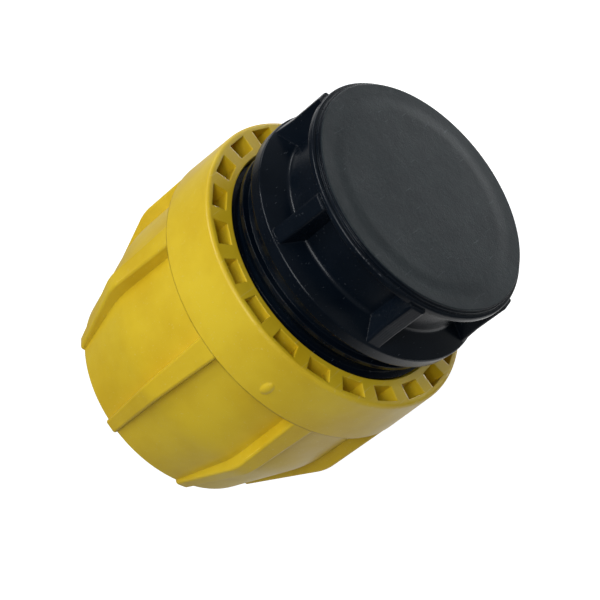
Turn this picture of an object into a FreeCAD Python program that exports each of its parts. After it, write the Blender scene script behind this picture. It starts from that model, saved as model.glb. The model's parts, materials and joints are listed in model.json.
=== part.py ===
import FreeCAD, Part
import math
import os
import Sketcher

# Pipe end cap for a 63 mm plastic pipe: closed body, clamp nut, grip ring, thrust bush and seal.
# Lengths in millimetres. Z runs along the pipe axis, z = 0 is the pipe's way in, +Z the closed end.
# Angles are counted about +Z from +X.

doc = FreeCAD.newDocument("pipe_end_cap")
sheet = doc.addObject("Spreadsheet::Sheet", "sizes")

TOOTH_COUNT = 7

# How near an edge must lie to its place to be taken for a rounding, and how level a cross edge is.
CIRCLE_NEAR = 0.01
PROFILE_NEAR = 0.02
LEVEL_NEAR = 0.5
SMALLEST_CUT = 1
# Long and cross edges rounded on each rib.
GRIP_RIB_EDGES = 5
NUT_RIB_EDGES = 6

SIZES = [
    # the pipe that goes in, and the play left around it
    ("pipe_radius", "31.5"),
    ("socket_play", "0.3"),
    ("bush_play", "0.7"),
    ("tooth_play", "0.5"),
    ("entry_play", "1.1"),
    # radii built outwards from the pipe: room for the seal, body wall, thread
    ("seal_room", "6.5"),
    ("recess_radius", "=pipe_radius + seal_room"),
    ("body_wall", "4.8"),
    ("thread_root_radius", "=recess_radius + body_wall"),
    ("thread_depth", "2.2"),
    ("thread_crest_radius", "=thread_root_radius + thread_depth"),
    # flange of the body
    ("flange_reach", "5.1"),
    ("flange_spread", "0.3"),
    ("flange_low_radius", "=thread_root_radius + flange_reach"),
    ("flange_radius", "=flange_low_radius + flange_spread"),
    ("flange_low_z", "102.9"),
    ("flange_height", "5.1"),
    ("flange_top_z", "=flange_low_z + flange_height"),
    # body interior, from the open end to the closed one
    ("body_end_z", "50"),
    ("recess_length", "30"),
    ("seat_z", "=body_end_z + recess_length"),
    ("socket_radius", "=pipe_radius + socket_play"),
    ("socket_length", "30"),
    ("stop_z", "=seat_z + socket_length"),
    ("stop_width", "1.8"),
    ("cavity_radius", "=socket_radius - stop_width"),
    ("end_wall", "6"),
    ("cavity_top_z", "=disc_top_z - end_wall"),
    # bays between the grip ribs
    ("bay_wall", "7.4"),
    ("bay_draft", "0.4"),
    ("bay_radius", "=socket_radius + bay_wall"),
    ("bay_top_radius", "=bay_radius + bay_draft"),
    ("bay_slope_height", "4.6"),
    ("bay_floor_z", "=flange_top_z + bay_slope_height"),
    # closed end: disc, ledge and lip
    ("disc_reach", "4.3"),
    ("disc_radius", "=bay_radius + disc_reach"),
    ("ledge_width", "0.6"),
    ("ledge_radius", "=disc_radius + ledge_width"),
    ("lip_width", "1.4"),
    ("lip_radius", "=ledge_radius + lip_width"),
    ("disc_top_z", "134.4"),
    ("disc_rise", "1"),
    ("disc_step_z", "=disc_top_z - disc_rise"),
    ("ledge_rise", "1"),
    ("lip_top_z", "=disc_step_z - ledge_rise"),
    ("lip_thickness", "2.6"),
    ("lip_under_z", "=lip_top_z - lip_thickness"),
    # grip ribs of the body: a short flare at the flange, tops lapping over the lip's edge
    ("grip_count", "6"),
    ("grip_angle", "7"),
    ("grip_sunk", "2.2"),
    ("grip_inner_radius", "=bay_radius - grip_sunk"),
    ("grip_rise", "1.3"),
    ("grip_face_radius", "=lip_radius + grip_rise"),
    ("grip_face_half", "2.9"),
    ("grip_draft", "0.16"),
    ("grip_inner_half", "=grip_face_half + (grip_face_radius - grip_inner_radius) * grip_draft"),
    ("grip_face_corner", "=sqrt(grip_face_radius ^ 2 + grip_face_half ^ 2)"),
    ("grip_lap", "1"),
    ("grip_top_z", "=lip_under_z + grip_lap"),
    ("grip_flare_height", "8.4"),
    ("grip_flare_z", "=flange_top_z + grip_flare_height"),
    ("grip_flare", "0.65"),
    ("grip_low_radius", "=grip_face_radius + grip_flare"),
    ("grip_low_half", "=grip_face_half - grip_flare * grip_draft"),
    ("grip_low_corner", "=sqrt(grip_low_radius ^ 2 + grip_low_half ^ 2)"),
    # screw thread, right-handed buttress: a long flank below the crest, a steep back above it
    ("thread_pitch", "7.5"),
    ("thread_lead", "5.875"),
    ("thread_start_z", "=body_end_z + thread_lead"),
    ("thread_flank", "3"),
    ("thread_crest", "1.6"),
    ("thread_back", "0.4"),
    ("thread_sink", "0.3"),
    ("thread_sunk_radius", "=thread_root_radius - thread_sink"),
    ("thread_crest_low_z", "=thread_start_z + thread_flank"),
    ("thread_crest_top_z", "=thread_crest_low_z + thread_crest"),
    ("thread_base_top_z", "=thread_crest_top_z + thread_back"),
    ("thread_runout", "2.275"),
    ("thread_turns", "=(flange_low_z - thread_runout - thread_base_top_z) / thread_pitch"),
    # nut thread: fills the space between the body's turns, less the play
    ("thread_play", "0.4"),
    ("flank_play", "0.6"),
    ("back_play", "0.4"),
    ("nut_bore_radius", "=thread_crest_radius + thread_play"),
    ("nut_sunk_radius", "=nut_bore_radius + thread_sink"),
    ("nut_tip_radius", "=thread_root_radius + thread_play"),
    ("nut_tip_share", "=thread_play / thread_depth"),
    ("nut_bore_share", "=1 + thread_play / thread_depth"),
    ("nut_tip_top_z", "=thread_start_z + thread_flank * nut_tip_share - flank_play"),
    ("nut_base_top_z", "=thread_start_z + thread_flank * nut_bore_share - flank_play"),
    ("nut_back_z", "=thread_base_top_z - thread_pitch + back_play"),
    ("nut_tip_low_z", "=nut_back_z - thread_back * nut_tip_share"),
    ("nut_base_low_z", "=nut_back_z - thread_back * nut_bore_share"),
    ("nut_runout", "0.5295"),
    ("nut_turns", "=(mouth_z - nut_runout - nut_base_top_z) / thread_pitch"),
    # nut outside: collar, panels, foot
    ("mouth_z", "90.1"),
    ("mouth_lead", "1"),
    ("mouth_lead_z", "=mouth_z - mouth_lead"),
    ("mouth_spread", "0.4"),
    ("mouth_radius", "=nut_bore_radius + mouth_spread"),
    ("collar_wall", "11"),
    ("collar_draft", "0.4"),
    ("collar_low_radius", "=nut_bore_radius + collar_wall"),
    ("collar_top_radius", "=collar_low_radius - collar_draft"),
    ("collar_height", "22.3"),
    ("collar_low_z", "=mouth_z - collar_height"),
    ("panel_wall", "6.4"),
    ("panel_draft", "0.4"),
    ("panel_top_radius", "=nut_bore_radius + panel_wall"),
    ("panel_bend_radius", "=panel_top_radius - panel_draft"),
    ("panel_bend_z", "33"),
    ("foot_wall", "10"),
    ("foot_radius", "=entry_radius + foot_wall"),
    # nut inside: way in, shelf, cone for the grip ring, bore
    ("entry_radius", "=pipe_radius + entry_play"),
    ("core_sunk", "1"),
    ("core_radius", "=entry_radius - core_sunk"),
    ("shelf_z", "7"),
    ("shelf_width", "2"),
    ("cone_low_radius", "=entry_radius + shelf_width"),
    ("cone_step", "1.4"),
    ("cone_top_radius", "=nut_bore_radius - cone_step"),
    ("cone_top_z", "40"),
    ("chamber_rise", "3"),
    ("chamber_low_z", "=cone_top_z + chamber_rise"),
    # nut ribs: faces along the panels, sides drawn in towards the foot
    ("nut_rib_count", "8"),
    ("nut_rib_angle", "-3.8"),
    ("nut_rib_sunk", "2"),
    ("nut_rib_inner_radius", "=foot_radius - nut_rib_sunk"),
    ("nut_rib_rise", "4.4"),
    ("nut_rib_radius", "=panel_top_radius + nut_rib_rise"),
    ("nut_rib_spare", "4"),
    ("nut_rib_reach", "=nut_rib_radius + nut_rib_spare"),
    ("nut_rib_bend_z", "34.5"),
    ("nut_rib_foot_rise", "1.4"),
    ("nut_rib_foot_radius", "=foot_radius + nut_rib_foot_rise"),
    ("nut_rib_inner_half", "5"),
    ("nut_rib_outer_half", "4.2"),
    ("nut_rib_taper", "2.3"),
    ("nut_rib_foot_inner_half", "=nut_rib_inner_half - nut_rib_taper"),
    ("nut_rib_foot_outer_half", "=nut_rib_outer_half - nut_rib_taper"),
    # pockets in the nut's mouth face
    ("pocket_count", "22"),
    ("pocket_angle", "4.06"),
    ("pocket_inner_wall", "2.5"),
    ("pocket_outer_wall", "2.4"),
    ("pocket_inner_radius", "=nut_bore_radius + pocket_inner_wall"),
    ("pocket_outer_radius", "=collar_top_radius - pocket_outer_wall"),
    ("pocket_inner_half", "4.2"),
    ("pocket_outer_half", "4.8"),
    ("pocket_depth", "14"),
    # small moulded pip on the collar, longer along the axis
    ("pip_angle", "-70.4"),
    ("pip_radius", "2.5"),
    ("pip_half_length", "4.2"),
    ("pip_sunk", "1.7"),
    ("pip_reach", "=collar_low_radius - pip_sunk"),
    ("pip_x", "=pip_reach * cos(pip_angle)"),
    ("pip_y", "=pip_reach * sin(pip_angle)"),
    ("pip_drop", "15.6"),
    ("pip_z", "=mouth_z - pip_drop"),
    # split grip ring with a toothed bore, in the nut's cone
    ("ring_gap", "0.02"),
    ("ring_play", "0.316"),
    ("ring_length", "26"),
    ("cone_taper", "=(cone_top_radius - cone_low_radius) / (cone_top_z - shelf_z)"),
    ("ring_low_z", "=shelf_z + ring_gap"),
    ("ring_top_z", "=shelf_z + ring_length"),
    ("ring_low_radius", "=cone_low_radius - ring_play"),
    ("ring_top_radius", "=cone_low_radius + ring_length * cone_taper - ring_play"),
    ("ring_lead", "2.5"),
    ("ring_lead_z", "=shelf_z + ring_lead"),
    ("ring_lead_play", "0.2"),
    ("ring_lead_radius", "=tooth_root_radius + ring_lead_play"),
    ("tooth_count", "%d" % TOOTH_COUNT),
    ("tooth_height", "0.9"),
    ("tooth_back", "0.9"),
    ("tooth_edge", "0.2"),
    ("tooth_pitch", "=(ring_top_z - ring_lead_z - tooth_back - tooth_edge) / tooth_count"),
    ("tooth_tip_radius", "=pipe_radius + tooth_play"),
    ("tooth_root_radius", "=tooth_tip_radius + tooth_height"),
    ("split_angle", "100"),
    ("split_half", "3.5"),
    ("split_spare", "2"),
    ("split_inner", "=tooth_tip_radius - split_spare"),
    ("split_outer", "=ring_top_radius + split_spare"),
    ("split_top_z", "=ring_top_z + split_spare"),
    ("split_depth", "=ring_length + 2 * split_spare"),
    # thrust bush: tube in the body's recess, flange against the body's open end
    ("bush_bore_radius", "=pipe_radius + bush_play"),
    ("bush_fit", "0.05"),
    ("bush_tube_radius", "=recess_radius - bush_fit"),
    ("bush_flange_step", "1.3"),
    ("bush_flange_radius", "=thread_root_radius - bush_flange_step"),
    ("bush_flange_height", "4"),
    ("bush_low_z", "=body_end_z - bush_flange_height"),
    ("bush_top_z", "=seat_z - 2 * seal_section_radius"),
    # seal between the bush and the seat
    ("seal_fit", "0.03"),
    ("seal_section_radius", "3"),
    ("seal_centre_radius", "=recess_radius - seal_fit - seal_section_radius"),
    ("seal_centre_z", "=seat_z - seal_section_radius"),
    # the section that trims the nut ribs reaches past them, and is swung so its seam misses them
    ("trim_spare", "10"),
    ("trim_radius", "=nut_rib_reach + trim_spare"),
    ("trim_swing", "24"),
    # roundings
    ("round_fine", "0.3"),
    ("round_small", "0.6"),
    ("round_collar", "1.4"),
    ("round_bay", "1.6"),
    ("round_rib", "1"),
    ("round_grip", "0.9"),
    ("round_lip", "0.9"),
    ("round_bend", "22"),
    ("round_panel", "40"),
]

for tooth in range(1, TOOTH_COUNT + 1):
    tip = "=ring_lead_z + tooth_pitch * (%d - 1) + tooth_back" % tooth
    SIZES.append(("tooth_tip_%d_z" % tooth, tip))
    SIZES.append(("tooth_root_%d_z" % tooth, tip + " + tooth_edge"))

for row, (name, text) in enumerate(SIZES, start=1):
    sheet.set("A%d" % row, name)
    sheet.set("B%d" % row, text)
    sheet.setAlias("B%d" % row, name)
doc.recompute()


def size(name):
    return float(sheet.get(name))


def new_body(name):
    body = doc.addObject("PartDesign::Body", name)
    body.Label = name
    return body


def plane_of(body, role):
    return [feature for feature in body.Origin.OriginFeatures if feature.Role == role][0]


def new_sketch(body, role, name, height=None, angle=None, swing=None):
    sketch = body.newObject("Sketcher::SketchObject", name)
    sketch.AttachmentSupport = [(plane_of(body, role), "")]
    sketch.MapMode = "FlatFace"
    if height is not None or angle is not None:
        lift = FreeCAD.Vector(0, 0, size(height) if height else 0)
        turn = FreeCAD.Rotation(FreeCAD.Vector(0, 0, 1), size(angle) if angle else 0)
        sketch.AttachmentOffset = FreeCAD.Placement(lift, turn)
        if height:
            sketch.setExpression("AttachmentOffset.Base.z", "sizes." + height)
        if angle:
            sketch.setExpression("AttachmentOffset.Rotation.Angle", "sizes." + angle)
    if swing is not None:
        turn = FreeCAD.Rotation(FreeCAD.Vector(0, 1, 0), size(swing))
        sketch.AttachmentOffset = FreeCAD.Placement(FreeCAD.Vector(0, 0, 0), turn)
        sketch.setExpression("AttachmentOffset.Rotation.Angle", "sizes." + swing)
    return sketch


def outline(sketch, corners):
    """Closed outline. A corner is two size names, or None for a corner on that axis."""
    points = []
    for across, along in corners:
        x = size(across) if across else 0
        y = size(along) if along else 0
        points.append(FreeCAD.Vector(x, y, 0))
    count = len(points)
    for i in range(count):
        sketch.addGeometry(Part.LineSegment(points[i], points[(i + 1) % count]), False)
    for i in range(count):
        sketch.addConstraint(Sketcher.Constraint("Coincident", i, 2, (i + 1) % count, 1))
    for i, (across, along) in enumerate(corners):
        for kind, name, axis in (("DistanceX", across, -2), ("DistanceY", along, -1)):
            if name is None:
                sketch.addConstraint(Sketcher.Constraint("PointOnObject", i, 1, axis))
                continue
            k = sketch.addConstraint(Sketcher.Constraint(kind, -1, 1, i, 1, size(name)))
            sketch.setExpression("Constraints[%d]" % k, "sizes." + name)


def wedge_outline(sketch, inner, inner_half, outer, outer_half):
    """Four corners placed evenly about the sketch's X axis, for one rib or pocket."""
    xi, wi = size(inner), size(inner_half)
    xo, wo = size(outer), size(outer_half)
    points = [(xi, wi), (xo, wo), (xo, -wo), (xi, -wi)]
    points = [FreeCAD.Vector(x, y, 0) for x, y in points]
    for i in range(4):
        sketch.addGeometry(Part.LineSegment(points[i], points[(i + 1) % 4]), False)
    for i in range(4):
        sketch.addConstraint(Sketcher.Constraint("Coincident", i, 2, (i + 1) % 4, 1))
    for i, kind, name in ((0, "DistanceX", inner), (0, "DistanceY", inner_half),
                          (1, "DistanceX", outer), (1, "DistanceY", outer_half)):
        k = sketch.addConstraint(Sketcher.Constraint(kind, -1, 1, i, 1, size(name)))
        sketch.setExpression("Constraints[%d]" % k, "sizes." + name)
    sketch.addConstraint(Sketcher.Constraint("Symmetric", 0, 1, 3, 1, -1))
    sketch.addConstraint(Sketcher.Constraint("Symmetric", 1, 1, 2, 1, -1))


def turned(body, sketch, name, kind="PartDesign::Revolution"):
    feature = body.newObject(kind, name)
    feature.Profile = sketch
    feature.ReferenceAxis = (sketch, ["V_Axis"])
    feature.Angle = 360
    body.Tip = feature
    doc.recompute()
    return feature


def fillet(body, base, name, radius, names):
    feature = body.newObject("PartDesign::Fillet", name)
    feature.Base = (base, names)
    feature.Radius = size(radius)
    feature.setExpression("Radius", "sizes." + radius)
    body.Tip = feature
    doc.recompute()
    if "Invalid" in feature.State:
        raise RuntimeError("%s could not be made" % name)
    return feature


def rounded(body, base, name, radius, places, arcs=False):
    """Round the circles (or arcs of one) of the base feature at the given radius and height."""
    wanted = [(size(r), size(z) if z else 0) for r, z in places]
    names = []
    for i, edge in enumerate(base.Shape.Edges, start=1):
        if not isinstance(edge.Curve, Part.Circle) or edge.isClosed() == arcs:
            continue
        for r, z in wanted:
            if abs(edge.Curve.Radius - r) < CIRCLE_NEAR and abs(edge.Curve.Center.z - z) < CIRCLE_NEAR:
                names.append("Edge%d" % i)
    if len(names) < len(places):
        raise RuntimeError("%s found %d edges of %d" % (name, len(names), len(places)))
    return fillet(body, base, name, radius, names)


def off_profile(radius, height, profile):
    """Distance of a radius and height pair from a chain of such pairs."""
    spot = FreeCAD.Vector(radius, height, 0)
    gaps = []
    for start, end in zip(profile, profile[1:]):
        run = end - start
        share = max(0, min(1, (spot - start).dot(run) / run.dot(run)))
        gaps.append((start + run * share - spot).Length)
    return min(gaps)


def rounded_ribs(body, base, name, radius, corners, count, top=None):
    """Round the long edges of ribs whose outer faces follow the given radius and height pairs,
    and the edges across them at the top height if one is given."""
    profile = [FreeCAD.Vector(size(r), size(z) if z else 0, 0) for r, z in corners]
    names = []
    for i, edge in enumerate(base.Shape.Edges, start=1):
        points = [vertex.Point for vertex in edge.Vertexes]
        if len(points) < 2:
            continue
        across = abs(points[0].z - points[1].z) < LEVEL_NEAR
        if across and (top is None or abs(points[0].z - size(top)) > CIRCLE_NEAR):
            continue
        gaps = [off_profile(math.hypot(point.x, point.y), point.z, profile) for point in points]
        if max(gaps) < PROFILE_NEAR:
            names.append("Edge%d" % i)
    if len(names) != count:
        raise RuntimeError("%s found %d edges of %d" % (name, len(names), count))
    return fillet(body, base, name, radius, names)


def cut_down(body, sketch, name, depth):
    """Straight cut from the sketch's plane towards -Z."""
    before = body.Shape.Volume
    pocket = body.newObject("PartDesign::Pocket", name)
    pocket.Profile = sketch
    pocket.Length = size(depth)
    pocket.setExpression("Length", "sizes." + depth)
    body.Tip = pocket
    doc.recompute()
    if pocket.Shape.Volume > before - SMALLEST_CUT:
        raise RuntimeError("%s removed nothing" % name)
    return pocket


def lofted_ribs(body, name, angle, count, levels):
    """Ribs with ruled faces between wedge plans. A level is a height and the wedge's four sizes."""
    plans = []
    for i, (height, *wedge) in enumerate(levels, start=1):
        plan = new_sketch(body, "XY_Plane", "%s_plan_%d" % (name, i), height, angle)
        wedge_outline(plan, *wedge)
        plans.append(plan)
    rib = body.newObject("PartDesign::AdditiveLoft", name)
    rib.Profile = plans[0]
    rib.Sections = plans[1:]
    rib.Ruled = True
    body.Tip = rib
    doc.recompute()
    return around(body, rib, plans[0], name + "s", count)


def around(body, original, sketch, name, count):
    pattern = body.newObject("PartDesign::PolarPattern", name)
    pattern.Originals = [original]
    pattern.Axis = (sketch, ["N_Axis"])
    pattern.Angle = 360
    pattern.Occurrences = int(size(count))
    pattern.setExpression("Occurrences", "sizes." + count)
    body.Tip = pattern
    doc.recompute()
    return pattern


def helical_ridge(body, sketch, name, turns):
    helix = body.newObject("PartDesign::AdditiveHelix", name)
    helix.Profile = sketch
    helix.ReferenceAxis = (sketch, ["V_Axis"])
    helix.Mode = 1
    helix.Pitch = size("thread_pitch")
    helix.setExpression("Pitch", "sizes.thread_pitch")
    helix.Turns = size(turns)
    helix.setExpression("Turns", "sizes." + turns)
    helix.LeftHanded = False
    helix.Reversed = False
    body.Tip = helix
    doc.recompute()
    return helix


# Closed body: one turned section, then ribs, then the thread.
cap = new_body("cap_body")
section = new_sketch(cap, "XZ_Plane", "body_section")
outline(section, [
    (None, "disc_top_z"),
    ("disc_radius", "disc_top_z"),
    ("disc_radius", "disc_step_z"),
    ("ledge_radius", "disc_step_z"),
    ("ledge_radius", "lip_top_z"),
    ("lip_radius", "lip_top_z"),
    ("lip_radius", "lip_under_z"),
    ("bay_top_radius", "lip_under_z"),
    ("bay_radius", "bay_floor_z"),
    ("flange_radius", "flange_top_z"),
    ("flange_low_radius", "flange_low_z"),
    ("thread_root_radius", "flange_low_z"),
    ("thread_root_radius", "body_end_z"),
    ("recess_radius", "body_end_z"),
    ("recess_radius", "seat_z"),
    ("socket_radius", "seat_z"),
    ("socket_radius", "stop_z"),
    ("cavity_radius", "stop_z"),
    ("cavity_radius", "cavity_top_z"),
    (None, "cavity_top_z"),
])
blank = turned(cap, section, "body_blank")
blank = rounded(cap, blank, "fine_rounding", "round_fine", [
    ("disc_radius", "disc_top_z"),
    ("ledge_radius", "disc_step_z"),
])
blank = rounded(cap, blank, "lip_rounding", "round_lip", [
    ("lip_radius", "lip_top_z"),
])
blank = rounded(cap, blank, "edge_rounding", "round_small", [
    ("lip_radius", "lip_under_z"),
    ("flange_radius", "flange_top_z"),
    ("flange_low_radius", "flange_low_z"),
    ("thread_root_radius", "body_end_z"),
    ("cavity_radius", "cavity_top_z"),
])
blank = rounded(cap, blank, "bay_rounding", "round_bay", [
    ("bay_radius", "bay_floor_z"),
    ("bay_top_radius", "lip_under_z"),
])
ribbed = lofted_ribs(cap, "grip_rib", "grip_angle", "grip_count", [
    ("flange_top_z", "grip_inner_radius", "grip_inner_half", "grip_low_radius", "grip_low_half"),
    ("grip_flare_z", "grip_inner_radius", "grip_inner_half", "grip_face_radius", "grip_face_half"),
    ("grip_top_z", "grip_inner_radius", "grip_inner_half", "grip_face_radius", "grip_face_half"),
])
rounded_ribs(cap, ribbed, "grip_rounding", "round_grip", [
    ("grip_face_corner", "grip_top_z"),
    ("grip_face_corner", "grip_flare_z"),
    ("grip_low_corner", "flange_top_z"),
], GRIP_RIB_EDGES * int(size("grip_count")), top="grip_top_z")
ridge = new_sketch(cap, "XZ_Plane", "thread_section")
outline(ridge, [
    ("thread_sunk_radius", "thread_start_z"),
    ("thread_root_radius", "thread_start_z"),
    ("thread_crest_radius", "thread_crest_low_z"),
    ("thread_crest_radius", "thread_crest_top_z"),
    ("thread_root_radius", "thread_base_top_z"),
    ("thread_sunk_radius", "thread_base_top_z"),
])
helical_ridge(cap, ridge, "body_thread", "thread_turns")

# Clamp nut: turned section, ribs down to the foot, pockets in the mouth face, thread inside.
nut = new_body("clamp_nut")
section = new_sketch(nut, "XZ_Plane", "nut_section")
outline(section, [
    ("entry_radius", None),
    ("foot_radius", None),
    ("panel_bend_radius", "panel_bend_z"),
    ("panel_top_radius", "collar_low_z"),
    ("collar_low_radius", "collar_low_z"),
    ("collar_top_radius", "mouth_z"),
    ("entry_radius", "mouth_z"),
])
blank = turned(nut, section, "nut_blank")
blank = rounded(nut, blank, "collar_rounding", "round_collar", [
    ("collar_top_radius", "mouth_z"),
])
blank = rounded(nut, blank, "foot_rounding", "round_small", [
    ("foot_radius", None),
    ("entry_radius", None),
])
blank = rounded(nut, blank, "panel_rounding", "round_panel", [
    ("panel_bend_radius", "panel_bend_z"),
])
lofted_ribs(nut, "nut_rib", "nut_rib_angle", "nut_rib_count", [
    (None, "nut_rib_inner_radius", "nut_rib_foot_inner_half", "nut_rib_reach", "nut_rib_foot_outer_half"),
    ("collar_low_z", "nut_rib_inner_radius", "nut_rib_inner_half", "nut_rib_reach", "nut_rib_outer_half"),
])
trim = new_sketch(nut, "XZ_Plane", "nut_rib_trim", swing="trim_swing")
outline(trim, [
    ("nut_rib_radius", "collar_low_z"),
    ("nut_rib_radius", "nut_rib_bend_z"),
    ("nut_rib_foot_radius", None),
    ("trim_radius", None),
    ("trim_radius", "collar_low_z"),
])
faced = turned(nut, trim, "nut_rib_faces", "PartDesign::Groove")
faced = rounded(nut, faced, "nut_rib_bend_rounding", "round_bend", [
    ("nut_rib_radius", "nut_rib_bend_z"),
], arcs=True)
rounded_ribs(nut, faced, "nut_rib_rounding", "round_rib", [
    ("nut_rib_radius", "collar_low_z"),
    ("nut_rib_radius", "nut_rib_bend_z"),
    ("nut_rib_foot_radius", None),
], NUT_RIB_EDGES * int(size("nut_rib_count")))
pip = nut.newObject("PartDesign::AdditiveEllipsoid", "collar_pip")
pip.AttachmentSupport = [(plane_of(nut, "XY_Plane"), "")]
pip.MapMode = "FlatFace"
pip.AttachmentOffset = FreeCAD.Placement(
    FreeCAD.Vector(size("pip_x"), size("pip_y"), size("pip_z")),
    FreeCAD.Rotation(FreeCAD.Vector(0, 0, 1), size("pip_angle")))
for path, name in (("Base.x", "pip_x"), ("Base.y", "pip_y"), ("Base.z", "pip_z")):
    pip.setExpression("AttachmentOffset." + path, "sizes." + name)
for extent, name in (("Radius1", "pip_half_length"), ("Radius2", "pip_radius"), ("Radius3", "pip_radius")):
    setattr(pip, extent, size(name))
    pip.setExpression(extent, "sizes." + name)
nut.Tip = pip
doc.recompute()
hollow = new_sketch(nut, "XZ_Plane", "nut_hollow")
outline(hollow, [
    ("core_radius", "shelf_z"),
    ("cone_low_radius", "shelf_z"),
    ("cone_top_radius", "cone_top_z"),
    ("nut_bore_radius", "chamber_low_z"),
    ("nut_bore_radius", "mouth_lead_z"),
    ("mouth_radius", "mouth_z"),
    ("core_radius", "mouth_z"),
])
turned(nut, hollow, "nut_inside", "PartDesign::Groove")
pocket_plan = new_sketch(nut, "XY_Plane", "pocket_plan", "mouth_z", "pocket_angle")
wedge_outline(pocket_plan, "pocket_inner_radius", "pocket_inner_half",
              "pocket_outer_radius", "pocket_outer_half")
pocket = cut_down(nut, pocket_plan, "mouth_pocket", "pocket_depth")
around(nut, pocket, pocket_plan, "mouth_pockets", "pocket_count")
ridge = new_sketch(nut, "XZ_Plane", "nut_thread_section")
outline(ridge, [
    ("nut_sunk_radius", "nut_base_low_z"),
    ("nut_bore_radius", "nut_base_low_z"),
    ("nut_tip_radius", "nut_tip_low_z"),
    ("nut_tip_radius", "nut_tip_top_z"),
    ("nut_bore_radius", "nut_base_top_z"),
    ("nut_sunk_radius", "nut_base_top_z"),
])
helical_ridge(nut, ridge, "nut_thread", "nut_turns")

# Split grip ring: cone outside to match the nut, saw teeth inside, one slit through.
ring = new_body("grip_ring")
section = new_sketch(ring, "XZ_Plane", "ring_section")
corners = [
    ("ring_lead_radius", "ring_low_z"),
    ("ring_low_radius", "ring_low_z"),
    ("ring_top_radius", "ring_top_z"),
    ("tooth_root_radius", "ring_top_z"),
]
for tooth in range(TOOTH_COUNT, 0, -1):
    corners.append(("tooth_root_radius", "tooth_root_%d_z" % tooth))
    corners.append(("tooth_tip_radius", "tooth_tip_%d_z" % tooth))
corners.append(("ring_lead_radius", "ring_lead_z"))
outline(section, corners)
turned(ring, section, "ring_blank")
split_plan = new_sketch(ring, "XY_Plane", "split_plan", "split_top_z", "split_angle")
wedge_outline(split_plan, "split_inner", "split_half", "split_outer", "split_half")
cut_down(ring, split_plan, "ring_split", "split_depth")

# Thrust bush: tube in the body's recess, flange under the body's open end.
bush = new_body("thrust_bush")
section = new_sketch(bush, "XZ_Plane", "bush_section")
outline(section, [
    ("bush_bore_radius", "bush_low_z"),
    ("bush_flange_radius", "bush_low_z"),
    ("bush_flange_radius", "body_end_z"),
    ("bush_tube_radius", "body_end_z"),
    ("bush_tube_radius", "bush_top_z"),
    ("bush_bore_radius", "bush_top_z"),
])
blank = turned(bush, section, "bush_blank")
rounded(bush, blank, "bush_rounding", "round_small", [
    ("bush_bore_radius", "bush_low_z"),
    ("bush_flange_radius", "bush_low_z"),
])

# Seal: round section, between the bush and the seat in the body.
seal = new_body("o_ring")
section = new_sketch(seal, "XZ_Plane", "seal_section")
centre = FreeCAD.Vector(size("seal_centre_radius"), size("seal_centre_z"), 0)
normal = FreeCAD.Vector(0, 0, 1)
section.addGeometry(Part.Circle(centre, normal, size("seal_section_radius")), False)
for kind, name in (("DistanceX", "seal_centre_radius"), ("DistanceY", "seal_centre_z")):
    k = section.addConstraint(Sketcher.Constraint(kind, -1, 1, 0, 3, size(name)))
    section.setExpression("Constraints[%d]" % k, "sizes." + name)
k = section.addConstraint(Sketcher.Constraint("Radius", 0, size("seal_section_radius")))
section.setExpression("Constraints[%d]" % k, "sizes.seal_section_radius")
turned(seal, section, "seal_turned")

doc.recompute()
for item in doc.Objects:
    if "Invalid" in item.State or "Error" in item.State:
        raise RuntimeError("%s is %s" % (item.Name, item.State))
os.makedirs("parts", exist_ok=True)
for body in (cap, nut, ring, bush, seal):
    shape = body.Shape
    if shape.isNull() or not shape.isValid() or len(shape.Solids) != 1:
        raise RuntimeError("%s is not one valid solid" % body.Label)
    shape.exportStep("parts/%s.step" % body.Label)
    box = shape.BoundBox
    print("%-12s %8.1f cm3  z %.2f to %.2f  faces %d" % (
        body.Label, shape.Volume / 1000, box.ZMin, box.ZMax, len(shape.Faces)))
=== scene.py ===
import json
import math

import bpy
from mathutils import Matrix, Vector


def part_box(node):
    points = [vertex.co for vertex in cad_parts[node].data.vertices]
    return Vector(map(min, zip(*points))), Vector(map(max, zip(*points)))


# A screw-on end cap for a plastic pipe: black closed body, yellow clamp nut, hidden grip parts.
# Metres. Z runs along the pipe axis, z = 0 is the nut's foot, +Z the closed end.

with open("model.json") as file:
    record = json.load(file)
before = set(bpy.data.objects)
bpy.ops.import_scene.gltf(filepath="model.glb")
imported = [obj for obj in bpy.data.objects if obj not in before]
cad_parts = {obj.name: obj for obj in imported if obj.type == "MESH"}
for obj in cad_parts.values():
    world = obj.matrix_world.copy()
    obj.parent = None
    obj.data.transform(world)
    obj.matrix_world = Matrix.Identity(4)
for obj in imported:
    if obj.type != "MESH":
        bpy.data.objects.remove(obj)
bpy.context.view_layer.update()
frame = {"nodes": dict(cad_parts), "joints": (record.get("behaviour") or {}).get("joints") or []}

# Heights from the frame: the nut's foot, the disc's face, and the lowest that the nut's foot comes to.
NUT_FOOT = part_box("clamp_nut")[0].z
DISC_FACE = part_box("cap_body")[1].z
SLIDES = {joint["name"]: joint["range_m"] for joint in frame["joints"] if "range_m" in joint}
NUT_LOWEST = NUT_FOOT + SLIDES["ring_slide"][0]


# Camera

# The pipe axis leans from the line of sight, and in the picture it rises from the horizontal. Radians.
AXIS_TO_VIEW = 0.91434
AXIS_RISE = 0.658

# How far away the disc's centre is along the line of sight, and the pixel where it is seen.
DISTANCE = 0.7925
DISC_PIXEL = (423.4, 195.0)
FOCAL_PIXELS = 2400
FRAME_PIXELS = 600
SENSOR_MM = 36


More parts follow.
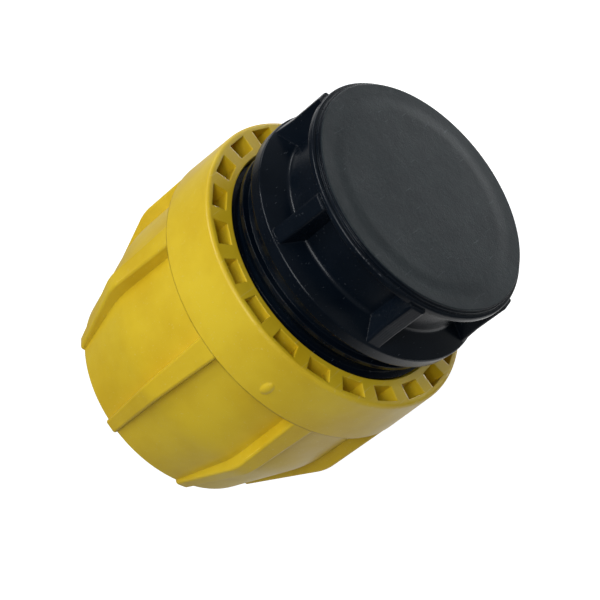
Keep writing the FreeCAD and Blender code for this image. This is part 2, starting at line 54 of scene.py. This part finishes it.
def place_camera():
    """Turns the camera to see the axis at its two angles, and puts the disc's centre on its pixel."""
    axis = Vector((math.sin(AXIS_TO_VIEW) * math.cos(AXIS_RISE),
                   math.sin(AXIS_TO_VIEW) * math.sin(AXIS_RISE),
                   math.cos(AXIS_TO_VIEW)))
    across = Vector((math.sin(AXIS_RISE), -math.cos(AXIS_RISE), 0))
    turn = Matrix((across, axis.cross(across), axis))
    middle = FRAME_PIXELS / 2
    disc_from_camera = DISTANCE * Vector(((DISC_PIXEL[0] - middle) / FOCAL_PIXELS,
                                          (middle - DISC_PIXEL[1]) / FOCAL_PIXELS,
                                          -1))
    data = bpy.data.cameras.new("camera")
    data.sensor_width = SENSOR_MM
    data.lens = SENSOR_MM * FOCAL_PIXELS / FRAME_PIXELS
    camera = bpy.data.objects.new("camera", data)
    camera.matrix_world = turn.to_4x4()
    camera.location = Vector((0, 0, DISC_FACE)) - turn @ disc_from_camera
    bpy.context.scene.collection.objects.link(camera)
    bpy.context.scene.camera = camera


place_camera()


# Node helpers. Each adds its nodes to a material's or the world's tree and returns an output.

WHITE = (1, 1, 1)
SCUFF_RISE = 0.05


def node(tree, kind, **settings):
    """A bare node with its settings, for the other helpers."""
    made = tree.nodes.new(kind)
    for key, value in settings.items():
        setattr(made, key, value)
    return made


def calc(tree, operation, *values):
    """One step of arithmetic on numbers or other nodes' outputs."""
    made = node(tree, "ShaderNodeMath", operation=operation)
    for socket, value in zip(made.inputs, values):
        if isinstance(value, (int, float)):
            socket.default_value = value
        else:
            tree.links.new(value, socket)
    return made.outputs["Value"]


def ranged(tree, value, low, high, to_low, to_high, curve="LINEAR"):
    """The value carried over from one range to another, and held at its ends."""
    made = node(tree, "ShaderNodeMapRange", interpolation_type=curve)
    made.inputs["From Min"].default_value = low
    made.inputs["From Max"].default_value = high
    made.inputs["To Min"].default_value = to_low
    made.inputs["To Max"].default_value = to_high
    tree.links.new(value, made.inputs["Value"])
    return made.outputs["Result"]


def band(tree, value, middle, half):
    """1 at the middle value, falling to 0 at half the width on both sides."""
    away = calc(tree, "ABSOLUTE", calc(tree, "SUBTRACT", value, middle))
    return ranged(tree, away, 0, half, 1, 0)


def between(tree, value, low, high):
    """1 from low to high and 0 elsewhere."""
    above = calc(tree, "GREATER_THAN", value, low)
    return calc(tree, "MULTIPLY", above, calc(tree, "LESS_THAN", value, high))


def surface_point(tree):
    """The point of the surface in the object's own frame."""
    return node(tree, "ShaderNodeTexCoord").outputs["Object"]


def split(tree, point):
    """The X, Y and Z of a point."""
    parts = node(tree, "ShaderNodeSeparateXYZ")
    tree.links.new(point, parts.inputs["Vector"])
    return parts.outputs


def around_axis(tree, point):
    """A point's distance from the pipe axis and its angle about it."""
    parts = split(tree, point)
    x, y = parts["X"], parts["Y"]
    square = calc(tree, "ADD", calc(tree, "MULTIPLY", x, x), calc(tree, "MULTIPLY", y, y))
    return calc(tree, "SQRT", square), calc(tree, "ARCTAN2", y, x)


def measured(tree, operation, point, direction=(0, 0, 0)):
    """A point's LENGTH from the origin, or its DOT_PRODUCT with a direction."""
    made = node(tree, "ShaderNodeVectorMath", operation=operation)
    tree.links.new(point, made.inputs[0])
    made.inputs[1].default_value = direction
    return made.outputs["Value"]


def noise(tree, point, scale, detail, roughness=0.5):
    """Noise from 0 to 1 whose patches are about 1 / scale wide."""
    made = node(tree, "ShaderNodeTexNoise")
    made.inputs["Scale"].default_value = scale
    made.inputs["Detail"].default_value = detail
    made.inputs["Roughness"].default_value = roughness
    tree.links.new(point, made.inputs["Vector"])
    return made.outputs["Fac"]


def clouds(tree, point, scale, detail, roughness=0.5, spread=0.2, low=0, high=1):
    """Soft patches from low to high: noise whose middle, give or take the spread, is drawn out."""
    patches = noise(tree, point, scale, detail, roughness)
    return ranged(tree, patches, 0.5 - spread, 0.5 + spread, low, high)


def peaks(tree, value, least, rise, strength):
    """Only what stands above the least value, reaching full strength within the rise."""
    return ranged(tree, value, least, least + rise, 0, strength)


def scuffs(tree, point, turn, along, across, least, strength):
    """Thin straight marks: the peaks of a noise drawn out along one direction."""
    mapping = node(tree, "ShaderNodeMapping")
    mapping.inputs["Rotation"].default_value = turn
    mapping.inputs["Scale"].default_value = (across, along, across)
    tree.links.new(point, mapping.inputs["Vector"])
    drawn_out = noise(tree, mapping.outputs["Vector"], scale=1, detail=2)
    return peaks(tree, drawn_out, least, SCUFF_RISE, strength)


def mixed(tree, share, first, second):
    """Colours mixed by a share; a colour is three numbers or another node's output."""
    made = node(tree, "ShaderNodeMix", data_type="RGBA")
    tree.links.new(share, made.inputs["Factor"])
    for name, colour in (("A", first), ("B", second)):
        if isinstance(colour, tuple):
            made.inputs[name].default_value = (*colour, 1)
        else:
            tree.links.new(colour, made.inputs[name])
    return made.outputs["Result"]


def diffuse(tree, grey):
    made = node(tree, "ShaderNodeBsdfDiffuse")
    made.inputs["Color"].default_value = (grey, grey, grey, 1)
    return made.outputs["BSDF"]


def white_glow(tree, strength):
    made = node(tree, "ShaderNodeEmission")
    made.inputs["Color"].default_value = (*WHITE, 1)
    tree.links.new(strength, made.inputs["Strength"])
    return made.outputs["Emission"]


def added(tree, first, second):
    """Two shaders laid over each other."""
    made = node(tree, "ShaderNodeAddShader")
    tree.links.new(first, made.inputs[0])
    tree.links.new(second, made.inputs[1])
    return made.outputs["Shader"]


def chosen(tree, ray, others, those):
    """One shader for rays of one kind and another for the others."""
    made = node(tree, "ShaderNodeMixShader")
    tree.links.new(node(tree, "ShaderNodeLightPath").outputs[ray], made.inputs["Fac"])
    tree.links.new(others, made.inputs[1])
    tree.links.new(those, made.inputs[2])
    return made.outputs["Shader"]


# Materials

EDGE_ROUNDING = 0.0005
EDGE_SAMPLES = 6

YELLOW = (0.75, 0.525, 0.020)
YELLOW_DEEP = (0.66, 0.430, 0.009)
YELLOW_WORN = (0.74, 0.58, 0.16)
NUT_ROUGHNESS = (0.34, 0.44)
NUT_SPECULAR = 0.45
NUT_FLOW_DEPTH = 0.00025
NUT_SKIN_DEPTH = 0.000014
COLLAR_EDGE = NUT_FOOT + 0.0678
GROOVE_HALF = 0.0003
GROOVE_DEPTH = 0.00015

BLACK = (0.0030, 0.0058, 0.0105)
BLACK_DEEP = (0.0010, 0.0030, 0.0065)
BLACK_WORN = (0.09, 0.10, 0.11)
SIDE_ROUGHNESS = (0.2, 0.3)
BODY_SPECULAR = 0.23
BODY_SKIN_DEPTH = 0.00004

# The grip ribs' faces carry fine lines, between their foot and the lip.
RIB_FACE_RADIUS = 0.0462
RIB_FOOT = DISC_FACE - 0.0219
RIB_TOP = DISC_FACE - 0.0038
LINES_A_TURN = 320
LINE_DEPTH = 0.000013

# The disc is matt from just under its face, and a very shallow step runs round it near its rim. Its paler
# grey colour is painted light, standing for the light that its face catches.
BLACK_MATT_PAINTED_LIT = (0.0185, 0.0255, 0.0290)
BLACK_MATT_PAINTED_LIT_DEEP = (0.0150, 0.0205, 0.0240)
MATT_FROM = DISC_FACE - 0.0005
MATT_FULL = DISC_FACE - 0.0001
MATT_ROUGHER = 0.26
STEP_INNER = 0.0326
STEP_OUTER = 0.0390
STEP_DEPTH = 0.0002
GRAIN_DEPTH = 0.00006

RING_WHITE = (0.75, 0.74, 0.70)
RING_WHITE_DEEP = (0.68, 0.67, 0.63)
BUSH_BLACK = (0.03, 0.03, 0.032)
BUSH_BLACK_DEEP = (0.02, 0.02, 0.022)
SEAL_BLACK = (0.018, 0.018, 0.018)
SEAL_BLACK_DEEP = (0.012, 0.012, 0.012)
PLASTIC_ROUGHNESS = (0.4, 0.5)
RUBBER_ROUGHNESS = (0.55, 0.7)
HIDDEN_SPECULAR = 0.4
HIDDEN_SKIN_DEPTH = 0.00002


def new_material(name):
    material = bpy.data.materials.new(name)
    material.use_nodes = True
    tree = material.node_tree
    return material, tree, tree.nodes["Principled BSDF"]


def relief(tree, layers):
    """Bumps laid over each other on slightly rounded edges; a layer is a height from 0 to 1 and what 1
    stands for in metres."""
    edges = node(tree, "ShaderNodeBevel", samples=EDGE_SAMPLES)
    edges.inputs["Radius"].default_value = EDGE_ROUNDING
    normal = edges.outputs["Normal"]
    for height, depth in layers:
        made = node(tree, "ShaderNodeBump")
        made.inputs["Strength"].default_value = 1
        made.inputs["Distance"].default_value = depth
        tree.links.new(height, made.inputs["Height"])
        tree.links.new(normal, made.inputs["Normal"])
        normal = made.outputs["Normal"]
    return normal


def set_surface(tree, shader, colour, roughness, specular, layers):
    tree.links.new(colour, shader.inputs["Base Color"])
    tree.links.new(roughness, shader.inputs["Roughness"])
    tree.links.new(relief(tree, layers), shader.inputs["Normal"])
    shader.inputs["Specular IOR Level"].default_value = specular


def nut_plastic():
    """Glossy yellow moulding: cloudy colour, pale scuffs, a softly uneven surface, and a fine groove where
    the collar's lower edge crosses the ribs."""
    material, tree, shader = new_material("yellow_plastic")
    point = surface_point(tree)
    cloudy = clouds(tree, point, scale=26, detail=4, roughness=0.6, spread=0.12)
    marks = scuffs(tree, point, turn=(0.4, 0.9, 0.3), along=60, across=1500, least=0.66, strength=0.45)
    colour = mixed(tree, marks, mixed(tree, cloudy, YELLOW_DEEP, YELLOW), YELLOW_WORN)
    roughness = clouds(tree, point, scale=70, detail=4, low=NUT_ROUGHNESS[0], high=NUT_ROUGHNESS[1])
    flow = noise(tree, point, scale=90, detail=2)
    skin = noise(tree, point, scale=1400, detail=2)
    height = split(tree, point)["Z"]
    groove = calc(tree, "SUBTRACT", 1, band(tree, height, COLLAR_EDGE, GROOVE_HALF))
    layers = ((flow, NUT_FLOW_DEPTH), (skin, NUT_SKIN_DEPTH), (groove, GROOVE_DEPTH))
    set_surface(tree, shader, colour, roughness, NUT_SPECULAR, layers)
    return material


def body_plastic():
    """Blue-black moulding with faint scuffs and dust: smooth sides, fine lines on the rib faces, and a
    matt, grained disc with a very shallow step near its rim. The disc's paler grey is painted light,
    standing for the light that its face catches."""
    material, tree, shader = new_material("black_plastic")
    point = surface_point(tree)
    height = split(tree, point)["Z"]
    radius, angle = around_axis(tree, point)
    matt = ranged(tree, height, MATT_FROM, MATT_FULL, 0, 1)
    smudges = clouds(tree, point, scale=45, detail=4, spread=0.15)
    sides = mixed(tree, smudges, BLACK_DEEP, BLACK)
    blotches = clouds(tree, point, scale=85, detail=4, roughness=0.6, spread=0.14)
    # Painted light: the disc's paler grey stands for the light that its face catches, with random blotches
    # in it.
    disc = mixed(tree, blotches, BLACK_MATT_PAINTED_LIT_DEEP, BLACK_MATT_PAINTED_LIT)
    marks = scuffs(tree, point, turn=(0.2, 0.5, 1.1), along=110, across=1300, least=0.69, strength=0.3)
    dust = peaks(tree, noise(tree, point, scale=900, detail=1), least=0.79, rise=0.04, strength=0.35)
    worn = calc(tree, "MAXIMUM", marks, dust)
    colour = mixed(tree, worn, mixed(tree, matt, sides, disc), BLACK_WORN)
    side_roughness = ranged(tree, smudges, 0, 1, *SIDE_ROUGHNESS)
    roughness = calc(tree, "ADD", side_roughness, calc(tree, "MULTIPLY", matt, MATT_ROUGHER))
    skin = noise(tree, point, scale=300, detail=2)
    step = calc(tree, "MULTIPLY", ranged(tree, radius, STEP_INNER, STEP_OUTER, 1, 0, "SMOOTHSTEP"), matt)
    grain = calc(tree, "MULTIPLY", noise(tree, point, scale=1500, detail=3, roughness=0.7), matt)
    wave = calc(tree, "SINE", calc(tree, "MULTIPLY", angle, LINES_A_TURN))
    outside = calc(tree, "GREATER_THAN", radius, RIB_FACE_RADIUS)
    on_rib = calc(tree, "MULTIPLY", outside, between(tree, height, RIB_FOOT, RIB_TOP))
    lines = calc(tree, "MULTIPLY", wave, on_rib)
    layers = ((skin, BODY_SKIN_DEPTH), (step, STEP_DEPTH), (grain, GRAIN_DEPTH), (lines, LINE_DEPTH))
    set_surface(tree, shader, colour, roughness, BODY_SPECULAR, layers)
    return material


def hidden_plastic(name, light, deep, roughness_range):
    """Plain moulding for the pieces inside: soft cloudy colour, uneven gloss, shallow skin."""
    material, tree, shader = new_material(name)
    point = surface_point(tree)
    colour = mixed(tree, clouds(tree, point, scale=28, detail=3), deep, light)
    roughness = clouds(tree, point, scale=60, detail=4, low=roughness_range[0], high=roughness_range[1])
    skin = noise(tree, point, scale=900, detail=2)
    set_surface(tree, shader, colour, roughness, HIDDEN_SPECULAR, ((skin, HIDDEN_SKIN_DEPTH),))
    return material


MATERIALS = {
    "cap_body": body_plastic(),
    "clamp_nut": nut_plastic(),
    "grip_ring": hidden_plastic("white_plastic", RING_WHITE, RING_WHITE_DEEP, PLASTIC_ROUGHNESS),
    "thrust_bush": hidden_plastic("dark_plastic", BUSH_BLACK, BUSH_BLACK_DEEP, PLASTIC_ROUGHNESS),
    "o_ring": hidden_plastic("seal_rubber", SEAL_BLACK, SEAL_BLACK_DEEP, RUBBER_ROUGHNESS),
}

for name, material in MATERIALS.items():
    for slot in frame["nodes"][name].material_slots:
        slot.material = material


# Floor, just below the lowest place of the nut's foot

FLOOR_SIZE = 8
FLOOR_GAP = 0.00034

# Greys of the floor: for the light that it throws back, and where the camera sees its shadow.
FLOOR_GREY = 0.5
FLOOR_SEEN_GREY = 0.9

# To the camera the floor glows a little less near the part, so that the shadow shows there.
GLOW_DISTANCES = (0.3, 0.8)
GLOW_STRENGTHS = (0.75, 1)

# In reflections it is dim in front of the part and pale behind it.
PALE_SIDE = (0.5, 0.866, 0)
MIRRORED_PLACES = (-0.06, 0.08)
MIRRORED_STRENGTHS = (0.08, 0.9)


def place_floor():
    """White to the camera apart from the shadow, plain grey for the soft light that it throws back."""
    material, tree, shader = new_material("floor")
    tree.nodes.remove(shader)
    point = surface_point(tree)
    glow = ranged(tree, measured(tree, "LENGTH", point), *GLOW_DISTANCES, *GLOW_STRENGTHS)
    seen = added(tree, white_glow(tree, glow), diffuse(tree, FLOOR_SEEN_GREY))
    across = measured(tree, "DOT_PRODUCT", point, PALE_SIDE)
    mirrored = white_glow(tree, ranged(tree, across, *MIRRORED_PLACES, *MIRRORED_STRENGTHS))
    unseen = chosen(tree, "Is Glossy Ray", diffuse(tree, FLOOR_GREY), mirrored)
    surface = chosen(tree, "Is Camera Ray", unseen, seen)
    tree.links.new(surface, tree.nodes["Material Output"].inputs["Surface"])
    bpy.ops.mesh.primitive_plane_add(size=FLOOR_SIZE, location=(0, 0, NUT_LOWEST - FLOOR_GAP))
    floor = bpy.context.object
    floor.name = "floor"
    floor.data.materials.append(material)


place_floor()


# Light

WORLD_COLOUR = (0.93, 0.98, 1)
WORLD_STRENGTH = 0.2
LAMP_COLOUR = (0.97, 1, 1.02)
LAMPS_AIM = Vector((0, 0, 0.07))
LAMPS_AWAY = 1.2


def background(tree, colour, strength):
    made = node(tree, "ShaderNodeBackground")
    made.inputs["Color"].default_value = (*colour, 1)
    made.inputs["Strength"].default_value = strength
    return made.outputs["Background"]


def light_world():
    """Soft even light all round; the camera sees it white."""
    world = bpy.data.worlds.new("studio")
    world.use_nodes = True
    tree = world.node_tree
    tree.nodes.remove(tree.nodes["Background"])
    soft = background(tree, WORLD_COLOUR, WORLD_STRENGTH)
    white = background(tree, WHITE, 1)
    surface = chosen(tree, "Is Camera Ray", soft, white)
    tree.links.new(surface, tree.nodes["World Output"].inputs["Surface"])
    bpy.context.scene.world = world


def softbox(name, azimuth, elevation, width, height, power):
    """A flat soft lamp facing the part; azimuth from +X and elevation above the floor, in degrees."""
    data = bpy.data.lights.new(name, "AREA")
    data.shape = "RECTANGLE"
    data.size = width
    data.size_y = height
    data.energy = power
    data.color = LAMP_COLOUR
    flat = math.cos(math.radians(elevation))
    toward = Vector((flat * math.cos(math.radians(azimuth)),
                     flat * math.sin(math.radians(azimuth)),
                     math.sin(math.radians(elevation))))
    lamp = bpy.data.objects.new(name, data)
    lamp.location = LAMPS_AIM + toward * LAMPS_AWAY
    lamp.rotation_euler = toward.to_track_quat("Z", "Y").to_euler()
    bpy.context.scene.collection.objects.link(lamp)


light_world()
softbox("key", azimuth=-104, elevation=31, width=0.6, height=0.6, power=6.8)
softbox("left_strip", azimuth=-150, elevation=9, width=0.8, height=0.24, power=6.1)
softbox("above", azimuth=74, elevation=69, width=0.8, height=0.8, power=0.5)
softbox("behind", azimuth=100, elevation=28, width=0.8, height=0.8, power=0.4)
softbox("back_strip", azimuth=95, elevation=8, width=0.8, height=0.22, power=5.5)
softbox("side_strip", azimuth=150, elevation=8, width=0.8, height=0.22, power=2.0)
softbox("right_strip", azimuth=26, elevation=9, width=0.8, height=0.24, power=1.0)

bpy.context.scene.view_settings.view_transform = "Standard"
